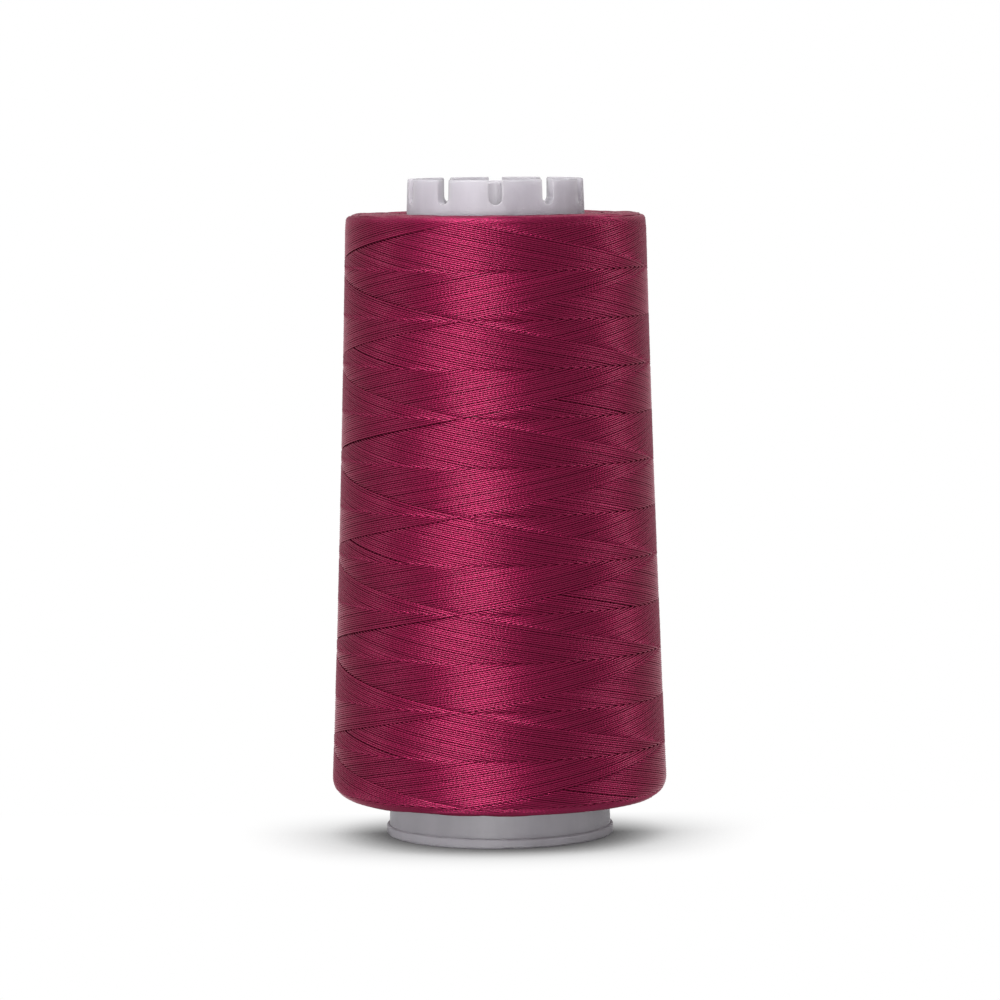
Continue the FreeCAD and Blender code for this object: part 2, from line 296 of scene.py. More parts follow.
@dataclass(frozen=True)
class DyedThread:
    """Crimson thread of twisted plies, with a satin gloss. Lengths are in millimetres.

    The tones are the parts of the step from the deep to the bright colour: the least one, and
    what the dye's slow and quick changes and the fibres can each add, and the painted shading of
    the plies, which is painted light on their crests and painted shade in the grooves between
    them.
    The fibres' relief is a share of the plies' height.
    """

    deep: Triple = (0.119, 0.0021, 0.0262)
    bright: Triple = (0.235, 0.0044, 0.0515)
    plies: int = 3
    twist: float = 1.7
    ply_height: float = 0.014
    fibre_relief: float = 0.35
    fibres: Grain = Grain(1.0, stretch=(26.0, 0.9, 1.0))
    slow_dye: Grain = Grain(0.012, 1.0)
    quick_dye: Grain = Grain(0.16)
    quick_row: float = 23.125
    least_tone: float = 0.04
    slow_tone: float = 0.36
    quick_tone: float = 0.18
    painted_ply_shading: float = 0.12
    fibre_tone: float = 0.16
    gloss_share: float = 0.90
    gloss_level: float = 0.8
    tint: Triple = (1.0, 0.60, 0.66)
    roughness: float = 0.36
    smoother: float = 0.06
    rougher: float = 0.08
    wax: float = 0.18
    wax_roughness: float = 0.24

    def build(self) -> bpy.types.Material:
        """Makes the material.

        Returns:
            A material that reads the UV map of the thread: millimetres along, and once round
            from 0 to 1.
        """
        board = NodeBoard(bpy.data.materials.new("dyed_thread"))
        run = board.add("ShaderNodeUVMap", uv_map=RUN_MAP).outputs[0]
        along, round_it, _ = board.split(run)
        twisted = board.math("MULTIPLY_ADD", along, 1.0 / self.twist, round_it)
        phase = board.math("MULTIPLY", twisted, TURN * self.plies)
        ridge = board.math("MULTIPLY_ADD", board.math("SINE", phase), 0.5, 0.5)
        fibres = board.noise(board.vector(twisted, along), self.fibres)
        slow_dye = board.noise(board.vector(along, 0.0), self.slow_dye)
        quick_dye = board.noise(board.vector(along, self.quick_row), self.quick_dye)
        tone = board.total(
            self.least_tone,
            (board.opened(slow_dye), self.slow_tone),
            (board.opened(quick_dye), self.quick_tone),
            # Painted shading of the plies: lighter on their crests, darker in the grooves between
            # them.
            (ridge, self.painted_ply_shading),
            (board.opened(fibres), self.fibre_tone),
        )
        smooth, rough = self.roughness - self.smoother, self.roughness + self.rougher
        height = board.math("MULTIPLY_ADD", fibres, self.fibre_relief, ridge)
        return board.dress(
            Base_Color=board.blend(tone, self.deep, self.bright),
            Metallic=self.gloss_share,
            Roughness=board.opened(fibres, smooth, rough),
            Normal=board.bump(height, self.ply_height / MM_PER_M),
            Specular_IOR_Level=self.gloss_level,
            Specular_Tint=(*self.tint, 1.0),
            Coat_Weight=self.wax,
            Coat_Roughness=self.wax_roughness,
        )


@dataclass(frozen=True)
class MilkyPlastic:
    """Moulded plastic that lets a little light through, with flow marks and a fine grain."""

    name: str
    colour: Triple
    depth: float
    clearness: float
    roughness: float = 0.34
    smoother: float = 0.05
    rougher: float = 0.07
    dark_share: float = 0.86
    flow: Grain = Grain(260.0, 3.0, 0.6, (1.0, 1.0, 0.25))
    flow_low: float = 0.32
    flow_high: float = 0.68
    flow_relief: float = 0.6
    grain: Grain = Grain(2600.0)
    grain_relief: float = 0.4
    relief: float = 0.00005
    relief_share: float = 0.35
    milk: float = 0.8
    milk_radius: Triple = (1.0, 0.95, 1.0)
    refraction: float = 1.49

    def build(self) -> bpy.types.Material:
        """Makes the material.

        Returns:
            A material with its marks and grain in colour, gloss and relief.
        """
        board = NodeBoard(bpy.data.materials.new(self.name))
        place = board.place()
        flow = board.noise(place, self.flow)
        grain = board.noise(place, self.grain)
        share = board.spread(flow, self.flow_low, self.flow_high)
        smooth, rough = self.roughness - self.smoother, self.roughness + self.rougher
        height = board.total(0.0, (grain, self.grain_relief), (flow, self.flow_relief))
        return board.dress(
            Base_Color=board.blend(share, dimmed(self.colour, self.dark_share), self.colour),
            Roughness=board.opened(grain, smooth, rough),
            Normal=board.bump(height, self.relief, self.relief_share),
            Subsurface_Weight=self.milk,
            Subsurface_Radius=self.milk_radius,
            Subsurface_Scale=self.depth,
            Transmission_Weight=self.clearness,
            IOR=self.refraction,
        )


@dataclass(frozen=True)
class BlankPaper:
    """Plain off-white paper, uncoated, with fibres and a cloudy make-up."""

    colour: Triple = (0.80, 0.785, 0.74)
    dark_share: float = 0.88
    fibres: Grain = Grain(2200.0, 4.0, 0.65, (1.0, 0.35, 1.0))
    fibre_share: float = 0.5
    clouds: Grain = Grain(240.0)
    cloud_share: float = 0.5
    tone_low: float = 0.35
    tone_high: float = 0.65
    smoothest: float = 0.78
    roughest: float = 0.94
    relief: float = 0.00004
    relief_share: float = 0.5
    gloss_level: float = 0.3

    def build(self) -> bpy.types.Material:
        """Makes the material.

        Returns:
            A material with its fibres in colour, gloss and relief.
        """
        board = NodeBoard(bpy.data.materials.new("blank_paper"))
        place = board.place()
        fibres = board.noise(place, self.fibres)
        clouds = board.noise(place, self.clouds)
        share = board.total(0.0, (fibres, self.fibre_share), (clouds, self.cloud_share))
        tone = board.spread(share, self.tone_low, self.tone_high)
        return board.dress(
            Base_Color=board.blend(tone, dimmed(self.colour, self.dark_share), self.colour),
            Roughness=board.opened(fibres, self.smoothest, self.roughest),
            Normal=board.bump(fibres, self.relief, self.relief_share),
            Specular_IOR_Level=self.gloss_level,
        )


@dataclass(frozen=True)
class PaleSweep:
    """The studio's floor, which is lit and shaded near the cone and plain white further out.

    The contact shade is a painted shadow: the ambient occlusion darkens the floor's glow in a band
    that lies across the view, in front of the object's axis. It is full where less than shade_full
    of the sky is open above the floor, and gone from shade_none on.
    """

    colour: Triple = (0.90, 0.90, 0.90)
    dark_share: float = 0.985
    grain: Grain = Grain(900.0)
    lit_to: float = 0.030
    white_from: float = 0.110
    near_share: float = 0.90
    shade_samples: int = 12
    shade_reach: float = 0.024
    shade_line: float = -0.010
    shade_core: float = 0.009
    shade_edge: float = 0.029
    shade_full: float = 0.08
    shade_none: float = 0.88
    glow_as_light: float = 0.5

    def build(self) -> bpy.types.Material:
        """Makes the material.

        Returns:
            A material that glows a little by itself, and is clear from below.
        """
        board = NodeBoard(bpy.data.materials.new("pale_sweep"))
        place = board.place()
        plain = self._plain(board, place)
        grain = board.noise(place, self.grain)
        paint = board.add("ShaderNodeBsdfDiffuse")
        colour = board.blend(grain, dimmed(self.colour, self.dark_share), self.colour)
        board.feed(paint.inputs["Color"], colour)
        glow = board.add("ShaderNodeEmission")
        board.feed(glow.inputs["Strength"], self._brightness(board, plain))
        glowing = board.total(self.near_share, (plain, 1.0 - self.near_share))
        # Rays of light from the cone see a share of the floor's glow, so the glowing floor lights
        # the cone from below, with its painted contact shadow in that light.
        share = board.math("MULTIPLY", glowing, board.sight(1.0, self.glow_as_light))
        below = board.add("ShaderNodeNewGeometry").outputs["Backfacing"]
        clear = board.add("ShaderNodeBsdfTransparent")
        board.close(board.mixed(below, board.mixed(share, paint, glow), clear))
        return board.owner

    def _plain(self, board: NodeBoard, place: Socket) -> Socket:
        """Works out where the floor is plain.

        Args:
            board: the material's board.
            place: the floor's coordinates.

        Returns:
            0 in the shaded band near the cone, and 1 outside it and further out.
        """
        reach = board.fed("ShaderNodeVectorMath", place, operation="LENGTH").outputs["Value"]
        far = board.spread(reach, self.lit_to, self.white_from)
        off_line = board.math("SUBTRACT", board.split(place)[1], self.shade_line)
        aside = board.spread(board.math("ABSOLUTE", off_line), self.shade_core, self.shade_edge)
        return board.math("MAXIMUM", far, aside)

    def _brightness(self, board: NodeBoard, plain: Socket) -> Socket:
        """Works out the glow's strength, with the painted contact shadow in it.

        Args:
            board: the material's board.
            plain: where the floor is plain.

        Returns:
            The strength.
        """
        # Painted contact shadow: the ambient occlusion near the cone darkens the floor's glow.
        shade = board.add("ShaderNodeAmbientOcclusion", samples=self.shade_samples)
        board.feed(shade.inputs["Distance"], self.shade_reach)
        open_sky = board.spread(shade.outputs["AO"], self.shade_full, self.shade_none)
        closed_sky = board.math("SUBTRACT", 1.0, open_sky)
        return board.math("MULTIPLY_ADD", closed_sky, plain, open_sky)


@dataclass(frozen=True)
class PackageOutline:
    """The side of the wound package, which turns about the tube's axis."""

    low: float = 0.0056
    high: float = 0.09325
    foot_radius: float = 0.0253
    neck_radius: float = 0.02245
    waist: float = 0.00022
    foot_round: float = 0.0030
    neck_round: float = 0.0010
    tube_foot_radius: float = 0.0167
    tube_neck_radius: float = 0.0131
    tube_height: float = 0.0984
    gap: float = 0.00003
    round_steps: int = 80
    side_steps: int = 400

    def face(self, z: Values) -> Values:
        """Gives the radius of the long face at a height.

        Args:
            z: the height.

        Returns:
            The radius there, before the ends are rounded.
        """
        share = (z - self.low) / (self.high - self.low)
        taper = (self.foot_radius - self.neck_radius) * share
        return self.foot_radius - taper - 4.0 * self.waist * share * (1.0 - share)

    def lean(self, z: Values) -> Values:
        """Gives the angle by which the long face's normal points up.

        Args:
            z: the height.

        Returns:
            The angle above level, in radians.
        """
        rise = self.high - self.low
        share = (z - self.low) / rise
        fall = self.foot_radius - self.neck_radius + 4.0 * self.waist * (1.0 - 2.0 * share)
        return np.arctan(fall / rise)

    def tube(self, z: Values) -> Values:
        """Gives the tube's outer radius at a height, with the gap outside it."""
        taper = (self.tube_neck_radius - self.tube_foot_radius) * (z / self.tube_height)
        return self.tube_foot_radius + taper + self.gap

    @cached_property
    def line(self) -> Array:
        """The outline from the foot face to the neck face.

        Returns:
            Rows of run, radius, height and normal angle.
        """
        low_centre = self.low + self.foot_round
        low_lean = float(self.lean(low_centre))
        low_z = low_centre + self.foot_round * math.sin(low_lean)
        low_r = float(self.face(low_z)) - self.foot_round * math.cos(low_lean)
        high_centre = self.high - self.neck_round
        high_lean = float(self.lean(high_centre))
        high_z = high_centre + self.neck_round * math.sin(high_lean)
        high_r = float(self.face(high_z)) - self.neck_round * math.cos(high_lean)
        first = np.linspace(-0.5 * math.pi, low_lean, self.round_steps)
        middle = np.linspace(low_z, high_z, self.side_steps)[1:-1]
        last = np.linspace(high_lean, 0.5 * math.pi, self.round_steps)
        low_radius = low_r + self.foot_round * np.cos(first)
        high_radius = high_r + self.neck_round * np.cos(last)
        radius = np.concatenate([low_radius, self.face(middle), high_radius])
        low_height = low_centre + self.foot_round * np.sin(first)
        high_height = high_centre + self.neck_round * np.sin(last)
        height = np.concatenate([low_height, middle, high_height])
        angle = np.concatenate([first, self.lean(middle), last])
        return np.stack([lengths_along(radius, height), radius, height, angle])

    @property
    def length(self) -> float:
        """The length of the outline from face to face."""
        return float(self.line[0, -1])

    def at(self, run: Array, depth: Values) -> tuple[Array, Array, Array]:
        """Reads the outline.

        Args:
            run: how far along the outline each point is.
            depth: how far inside it each point is.

        Returns:
            The points' radii, heights and normal angles.
        """
        table = self.line
        kept = np.clip(run, 0.0, self.length)
        angle = np.interp(kept, table[0], table[3])
        radius = np.interp(kept, table[0], table[1]) - depth * np.cos(angle)
        height = np.interp(kept, table[0], table[2]) - depth * np.sin(angle)
        return radius, height, angle


class StrandMesh:
    """Collects closed six-sided tubes round strands, and makes one mesh of them with UV maps."""

    SIDES = 6
    FIRST_CAP = np.array([[3, 2, 1, 0], [5, 4, 3, 0]])
    LAST_CAP = np.array([[0, 1, 2, 3], [0, 3, 4, 5]])
    CAP_SPAN = 0.8
    ROW_MARGIN = 0.04

    def __init__(self, radius: float) -> None:
        """Starts an empty mesh.

        Args:
            radius: the radius of every strand.
        """
        self.radius = radius
        self.turns = TURN * np.arange(self.SIDES) / self.SIDES
        self.points: list[Array] = []
        self.quads: list[Array] = []
        self.runs: list[Array] = []
        self.count = 0
        self.run = 0.0

    def add(self, centres: Array, outward: Array, start: float | None = None) -> None:
        """Adds one closed tube.

        Args:
            centres: the points that the strand follows.
            outward: the surface's normal at each of them.
            start: the strand's length before its first point, or None to go on from the last tube.
        """
        sides, count = self.SIDES, len(centres)
        along = np.gradient(centres, axis=0)
        along /= np.linalg.norm(along, axis=1, keepdims=True)
        across = np.cross(along, outward)
        across /= np.linalg.norm(across, axis=1, keepdims=True)
        up = np.cross(across, along)
        ring = np.cos(self.turns)[:, None] * up[:, None, :]
        ring = ring + np.sin(self.turns)[:, None] * across[:, None, :]
        self.points.append((centres[:, None, :] + self.radius * ring).reshape(-1, 3))
        spot, side = np.meshgrid(np.arange(count - 1), np.arange(sides), indexing="ij")
        here, beside = spot * sides + side, spot * sides + (side + 1) % sides
        walls = np.stack([here, beside, beside + sides, here + sides], axis=-1).reshape(-1, 4)
        caps = [self.FIRST_CAP, self.LAST_CAP + (count - 1) * sides]
        self.quads.append(np.vstack([walls, *caps]) + self.count)
        steps = np.linalg.norm(np.diff(centres, axis=0), axis=1)
        first = self.run if start is None else start
        run = first + np.concatenate([[0.0], np.cumsum(steps)])
        begin, end = run[spot], run[spot + 1]
        low, high = side / sides, (side + 1) / sides
        maps = np.stack([begin, low, begin, high, end, high, end, low], axis=-1).reshape(-1, 4, 2)
        self.runs.append(np.concatenate([maps, self._cap_maps(run[0], run[-1])]))
        self.run = float(run[-1])
        self.count += count * sides

    def _cap_maps(self, first: float, last: float) -> Array:
        """Gives the two ends of a tube a small hexagon each on the map.

        Args:
            first: the run at the first end.
            last: the run at the last end.

        Returns:
            The places of the four cap faces' corners.
        """
        half = 0.5 * self.CAP_SPAN
        along = self.radius * self.CAP_SPAN * np.cos(self.turns)
        disc = np.stack([along, 0.5 + half * np.sin(self.turns)], axis=1)
        begin = disc + [first + self.radius, 0.0]
        end = disc + [last - self.radius, 0.0]
        return np.concatenate([begin[self.FIRST_CAP], end[self.LAST_CAP]])

    def build(self, name: str) -> Piece:
        """Makes the object.

        Args:
            name: the piece's name.

        Returns:
            The new object, in the scene.
        """
        runs = np.concatenate(self.runs)
        maps = {RUN_MAP: runs * [MM_PER_M, 1.0], BAKE_MAP: self._packed(runs)}
        return shaped(name, np.concatenate(self.points), np.concatenate(self.quads), maps)

    def _packed(self, runs: Array) -> Array:
        """Lays the strand in rows that fill one square, where each wall face has its own place.

        Args:
            runs: for each face's corner, its run along the strand and its share of the way round.

        Returns:
            The same corners' places in the square.
        """
        first = runs[:, :, 0].min(axis=1)
        span = float((runs[:, :, 0].max(axis=1) - first).max())
        origin = float(first.min())
        total = float(runs[:, :, 0].max()) - origin
        rows = max(1, round(math.sqrt(total / (TURN * self.radius))))
        reach = total / rows
        row = np.minimum(((first - origin) / reach).astype(int), rows - 1)
        left = (runs[:, :, 0] - origin - row[:, None] * reach) / (reach + span)
        used = 1.0 - 2.0 * self.ROW_MARGIN
        low = (row[:, None] + self.ROW_MARGIN + used * runs[:, :, 1]) / rows
        return np.stack([left, low], axis=-1)


@dataclass(frozen=True)
class Waver:
    """A small unevenness of the winding: waves, each with its rate in a turn and its share."""

    size: float
    phase: float
    first_wave: float = 1.3
    waves: tuple[tuple[float, float], ...] = (
        (0.371, 0.90),
        (0.823, 0.80),
        (1.613, 0.55),
        (2.907, 0.35),
    )

    def at(self, total: Array) -> Array:
        """Gives an offset for each point.

        Args:
            total: the turns since the thread began.

        Returns:
            The offsets.
        """
        parts = [
            share * np.sin(TURN * (rate * total + self.phase * (number + self.first_wave)))
            for number, (rate, share) in enumerate(self.waves)
        ]
        return self.size * np.sum(parts, axis=0)


@dataclass(frozen=True)
class TurningArcs:
    """The arcs in which the thread's layers turn back on an end face.

    The inset, the outset, the pitch and the sinking are in strands, the shift and the jitter in
    the spacing of a ring's arcs, and the shortest and longest reach in turns.
    """

    inner_inset: float = 0.6
    outer_outset: float = 0.2
    pitch: float = 0.72
    per_ring: int = 15
    ring_shift: float = 0.38
    jitter: float = 0.25
    shortest: float = 0.062
    longest: float = 0.078
    points: int = 11
    least_sink: float = 0.5
    more_sink: float = 0.5
    stray: float = 0.00002


@dataclass(frozen=True)
class ThreadGround:
    """The closed body of older layers under the strokes, with its depth in strands."""

    depth: float = 1.75
    side_steps: int = 90
    tube_steps: int = 12
    steps_round: int = 160
    foot_face_width: float = 0.006


@dataclass(frozen=True)
class Shoulder:
    """How the strokes pile up at either end, where they bend. The pitch is in strands."""

    least_layers: float = 2.0
    most_layers: float = 4.5
    pitch: float = 0.7
    run: float = 0.0013
    fade: float = 0.0018
    nearest: float = 0.000001


@dataclass
class WoundThread:
    """The thread on the tube: crossing strokes over a closed ground, and arcs on its end faces."""

    outline: PackageOutline = field(default_factory=PackageOutline)
    finish: DyedThread = field(default_factory=DyedThread)
    arcs: TurningArcs = field(default_factory=TurningArcs)
    ground: ThreadGround = field(default_factory=ThreadGround)
    shoulder: Shoulder = field(default_factory=Shoulder)
    depth_waver: Waver = Waver(0.000006, 0.31)
    run_waver: Waver = Waver(0.000022, 0.77)
    double_strokes: int = 92
    even_turns: float = 6.5
    lead: float = 0.0285
    thickness: float = 0.000304
    row_height: float = 0.00309
    apex_azimuth: float = -0.034
    apex_row: int = 2
    pieces: int = 4
    steps_per_turn: int = 72
    ramp: float = 0.0009
    ramp_clear: float = 0.9
    calm_run: float = 0.004
    tuck_turns: float = 0.05
    tuck_depth: float = 3.0
    swell: float = 1.03
    seed: int = 7

    @property
    def turns_per_double(self) -> float:
        """The turns of a stroke up and one down, which bring the next pair half a turn round."""
        return self.even_turns + 0.5 / self.double_strokes

    @property
    def stroke_turns(self) -> float:
        """The turns of one stroke."""
        return 0.5 * self.turns_per_double

    @property
    def turning(self) -> float:
        """The turns over which a stroke bends at either end."""
        return self.stroke_turns - self.outline.length / self.lead

    @property
    def row_step(self) -> float:
        """The run from one row of diamonds to the next."""
        return 0.25 * self.lead

    @property
    def row_shift(self) -> float:
        """What the rows' own height adds to the falling strokes' pattern."""
        return self.row_height / self.row_step

    @property
    def pattern_shift(self) -> float:
        """What sets the pattern's diamonds at their azimuth."""
        row_run = self.row_height + self.apex_row * self.row_step
        return 2.0 * (self.apex_azimuth - row_run / self.lead)

    @property
    def start_azimuth(self) -> float:
        """The azimuth at which the thread sets off from the foot face."""
        return 0.5 * (self.pattern_shift - self.turning)

    @property
    def strand_radius(self) -> float:
        """The radius of the strand's mesh, a little more than half its thickness."""
        return 0.5 * self.thickness * self.swell

    def climb(self, turns: Array) -> Array:
        """Gives how far along the outline a rising stroke has come.

        Args:
            turns: the turns since the stroke set off from the foot face.

        Returns:
            The run along the outline.
        """
        bend, whole = self.turning, self.stroke_turns
        left = whole - turns
        start = self.lead * turns**2 / (2.0 * bend)
        end = self.outline.length - self.lead * left**2 / (2.0 * bend)
        straight = self.lead * (turns - 0.5 * bend)
        return np.where(turns < bend, start, np.where(left < bend, end, straight))

    def crossings(self, way: Way, age: float) -> Array:
        """Finds where a stroke dives under or comes over the strokes that cross it.

        Args:
            way: the stroke's way.
            age: how new the stroke is, from 0 to 1.

        Returns:
            The runs along the outline, in rising order.
        """
        count = np.arange(-2, 4 * int(math.ceil(self.outline.length / self.lead)) + 3)
        rows = self.row_height + self.row_step * count
        seams = self.row_height + self.row_step * (count - way.value * age)
        runs = np.sort(np.concatenate([rows, seams]))
        low = self.lead * self.turning
        return runs[(runs > low) & (runs < self.outline.length - low)]

    def stations(self, way: Way, age: float) -> Array:
        """Picks the points of one stroke, closer together where it changes its depth.

        Args:
            way: the stroke's way.
            age: how new the stroke is, from 0 to 1.

        Returns:
            The turns since the stroke's foot end, from 0 to the whole stroke.
        """
        count = int(round(self.stroke_turns * self.steps_per_turn))
        even = np.linspace(0.0, self.stroke_turns, count + 1)
        half = 0.5 * self.ramp / (TURN * self.outline.foot_radius)
        at = self.crossings(way, age) / self.lead + 0.5 * self.turning
        extra = np.concatenate([at - half, at + half])
        near = np.abs(even[:, None] - extra[None, :]).min(axis=1) < self.ramp_clear * half
        near[[0, -1]] = False
        return np.sort(np.concatenate([even[~near], extra]))

    def depth(self, way: Way, run: Array, azimuth: Array, age: float, own: float) -> Array:
        """Gives how deep the strand's centre lies under the package's surface.

        Args:
            way: the stroke's way.
            run: the run along the outline of each point.
            azimuth: the azimuth of each point.
            age: how new the stroke is in the thread's order, from 0 to 1.
            own: how new it is in the pattern of diamonds, from 0 to 1.

        Returns:
            The depths.
        """
        shift = self.pattern_shift + (self.row_shift if way is Way.UP else 0.0)
        other = (2.0 * (azimuth + way.value * run / self.lead) - shift) % 1.0
        over = np.minimum(other, own - other)
        under = np.minimum(other - own, 1.0 - other)
        side = np.where(other < own, over, -under)
        half = 2.0 * self.ramp / (TURN * self.outline.foot_radius)
        middle = self.thickness * (1.0 - 0.5 * np.clip(side / half, -1.0, 1.0))
        edge, end = self.from_ends(run), self.shoulder
        bend = self.lead * self.turning * 0.5
        layers = 2.0 * np.sqrt(bend / np.maximum(edge, end.nearest))
        layers = np.clip(layers, end.least_layers, end.most_layers)
        piled = self.thickness * (0.5 + (1.0 - age) * (layers - 1.0) * end.pitch)
        share = np.clip((edge - end.run) / end.fade, 0.0, 1.0)
        share = share * share * (3.0 - 2.0 * share)
        return middle * share + piled * (1.0 - share)

    def from_ends(self, run: Array) -> Array:
        """Gives how far each point is from the nearer end face, along the outline."""
        return np.minimum(run, self.outline.length - run)

    def falling_age(self, index: int) -> float:
        """Gives how new a falling stroke is in the pattern of diamonds, from 0 to 1."""
        both = self.start_azimuth + (index + 1) * self.turns_per_double - 0.5 * self.turning
        return (2.0 * both - (self.pattern_shift + self.row_shift)) % 1.0

    def stroke(self, index: int, way: Way) -> tuple[Array, Array]:
        """Lays one stroke.

        Args:
            index: which double stroke it belongs to.
            way: its way.

        Returns:
            The points of the strand's centre in the thread's order, and the surface's normals.
        """
        age = (index + 0.5) / self.double_strokes
        own = age if way is Way.UP else self.falling_age(index)
        turns = self.stations(way, own)
        run = self.climb(turns)
        total = turns if way is Way.UP else self.turns_per_double - turns
        before = index * self.turns_per_double
        azimuth = self.start_azimuth + before + total
        whole = before + total
        depth = self.depth(way, run, azimuth, age, own) + self.depth_waver.at(whole)
        last = self.double_strokes * self.turns_per_double
        from_thread_end = np.minimum(whole, last - whole)
        tuck = np.clip(1.0 - from_thread_end / self.tuck_turns, 0.0, 1.0)
        depth = depth + self.tuck_depth * self.thickness * tuck
        calm = np.clip(self.from_ends(run) / self.calm_run, 0.0, 1.0)
        run = run + self.run_waver.at(whole) * calm
        radius, height, angle = self.outline.at(run, depth)
        centres = turned(radius, azimuth, height)
        outward = turned(np.cos(angle), azimuth, np.sin(angle))
        if way is Way.DOWN:
            return centres[::-1], outward[::-1]
        return centres, outward

    def lay_strokes(self) -> list[Piece]:
        """Lays the whole thread, in pieces that follow each other.

        Returns:
            The pieces.
        """
        made, run = [], 0.0
        bounds = np.linspace(0, self.double_strokes, self.pieces + 1).round().astype(int)
        for number, (first, last) in enumerate(zip(bounds[:-1], bounds[1:]), start=1):
            centres, outward = [], []
            for index in range(first, last):
                for way in Way:
                    points, normals = self.stroke(index, way)
                    skip = 1 if centres else 0
                    centres.append(points[skip:])
                    outward.append(normals[skip:])
            mesh = StrandMesh(self.strand_radius)
            mesh.add(np.concatenate(centres), np.concatenate(outward), run)
            run = mesh.run
            made.append(mesh.build(f"thread_strokes_{number}"))
        return made

    def lay_face(self, face: EndFace) -> Piece:
        """Lays the arcs in which the inner layers turn back on an end face.

        Args:
            face: which end.

        Returns:
            The piece.
        """
        at_foot, arcs = face is EndFace.FOOT, self.arcs
        rng = np.random.default_rng(self.seed + int(not at_foot))
        row = self.outline.line[:, 0 if at_foot else -1]
        level, inward = float(row[2]), 1.0 if at_foot else -1.0
        inner = float(self.outline.tube(level)) + arcs.inner_inset * self.thickness
        outer = float(row[1]) + arcs.outer_outset * self.thickness
        rings = int(round((outer - inner) / (arcs.pitch * self.thickness)))
        mesh = StrandMesh(self.strand_radius)
        for ring in range(rings):
            for step in range(arcs.per_ring):
                share = (ring + step / arcs.per_ring) / rings
                jitter = rng.uniform(-arcs.jitter, arcs.jitter)
                middle = (step + arcs.ring_shift * ring + jitter) / arcs.per_ring
                reach = rng.uniform(arcs.shortest, arcs.longest)
                off = np.linspace(-reach, reach, arcs.points)
                sunk = self.thickness * (arcs.least_sink + arcs.more_sink * rng.random())
                height = level + inward * (sunk + self.lead * off**2 / (2.0 * self.turning))
                radius = inner + (outer - inner) * share + rng.normal(0.0, arcs.stray)
                centres = turned(radius, middle + off, height)
                outward = np.zeros_like(centres)
                outward[:, 2] = -inward
                mesh.add(centres, outward)
        return mesh.build(f"thread_{face.value}_face")

    def lay_ground(self) -> Piece:
        """Makes the closed body of older layers under the strokes.

        Returns:
            The piece.
        """
        ground = self.ground
        run = np.linspace(0.0, self.outline.length, ground.side_steps)
        radius, height, _ = self.outline.at(run, ground.depth * self.thickness)
        inner = np.linspace(height[-1], height[0], ground.tube_steps)
        radius = np.concatenate([radius, self.outline.tube(inner)])
        height = np.concatenate([height, inner])
        count, steps = len(radius), ground.steps_round
        points = turned(radius, np.arange(steps)[:, None] / steps, height).reshape(-1, 3)
        step, spot = np.meshgrid(np.arange(steps), np.arange(count), indexing="ij")
        next_step, next_spot = (step + 1) % steps, (spot + 1) % count
        near = [step * count + spot, next_step * count + spot]
        far = [next_step * count + next_spot, step * count + next_spot]
        quads = np.stack([*near, *far], axis=-1).reshape(-1, 4)
        lengths = lengths_along(radius, height)
        lengths = np.append(lengths, lengths[-1] + ground.foot_face_width)
        girth = TURN * float(radius.mean())
        left, right = step / steps * girth, (step + 1) / steps * girth
        low, high = lengths[spot], lengths[spot + 1]
        maps = np.stack([left, low, right, low, right, high, left, high], axis=-1)
        runs = maps.reshape(-1, 4, 2) * [MM_PER_M, 1.0 / self.thickness]
        return shaped("thread_ground", points, quads, {RUN_MAP: runs})

    def build(self) -> list[Piece]:
        """Makes every piece of the thread, dresses it and sets it on the tube.

        Returns:
            The pieces.
        """
        made = [self.lay_ground(), *self.lay_strokes(), *(self.lay_face(face) for face in EndFace)]
        material = self.finish.build()
        for piece in made:
            piece.data.materials.append(material)
            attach(piece, "root")
            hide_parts(PACKAGE_NODE)
        return made


@dataclass
class CoreTube:
    """The tapered tube with its notched crown, and the two hubs pressed into it."""

    tube_finish: MilkyPlastic = MilkyPlastic(
        "milky_tube", (0.365, 0.345, 0.383), depth=0.0080, clearness=0.20, roughness=0.50
    )
    hub_finish: MilkyPlastic = MilkyPlastic(
        "milky_hub", (0.50, 0.475, 0.51), depth=0.0016, clearness=0.12
    )

    def build(self, nodes: dict[str, Piece]) -> list[Piece]:
        """Dresses the tube and its hubs, which keep their CAD shapes.

        Args:
            nodes: the CAD nodes by name.

        Returns:
            The dressed nodes.
        """
        tube, hub = self.tube_finish.build(), self.hub_finish.build()
        finishes = {"core_tube": tube, "nose_hub": hub, "base_hub": hub}
        return [wear(nodes[name], material) for name, material in finishes.items()]


@dataclass
class BaseLabel:
    """The blank paper ring under the foot hub."""

    finish: BlankPaper = field(default_factory=BlankPaper)

    def build(self, nodes: dict[str, Piece]) -> list[Piece]:
        """Dresses the ring, which keeps its CAD shape, and gives it back as the only one."""
        return [wear(nodes["base_label"], self.finish.build())]


@dataclass(frozen=True)
class SoftLamp:
    """An oblong lamp that faces the cone. Angles in degrees, from the front towards +X and up."""

    name: str
    azimuth: float
    elevation: float
    width: float
    height: float
    watts: float
    distance: float = 0.90

    def build(self, aim: Vector) -> None:
        """Hangs the lamp.

        Args:
            aim: the point that it faces.
        """
        data = bpy.data.lights.new(self.name, "AREA")
        data.shape = "RECTANGLE"
        data.size = self.width
        data.size_y = self.height
        data.energy = self.watts
        lamp = placed(self.name, data)
        turn, lift = math.radians(self.azimuth), math.radians(self.elevation)
        level = math.cos(lift)
        away = Vector((math.sin(turn) * level, -math.cos(turn) * level, math.sin(lift)))
        lamp.location = aim + away * self.distance
        lamp.rotation_euler = (-away).to_track_quat("-Z", "Y").to_euler()
        lamp.visible_camera = False


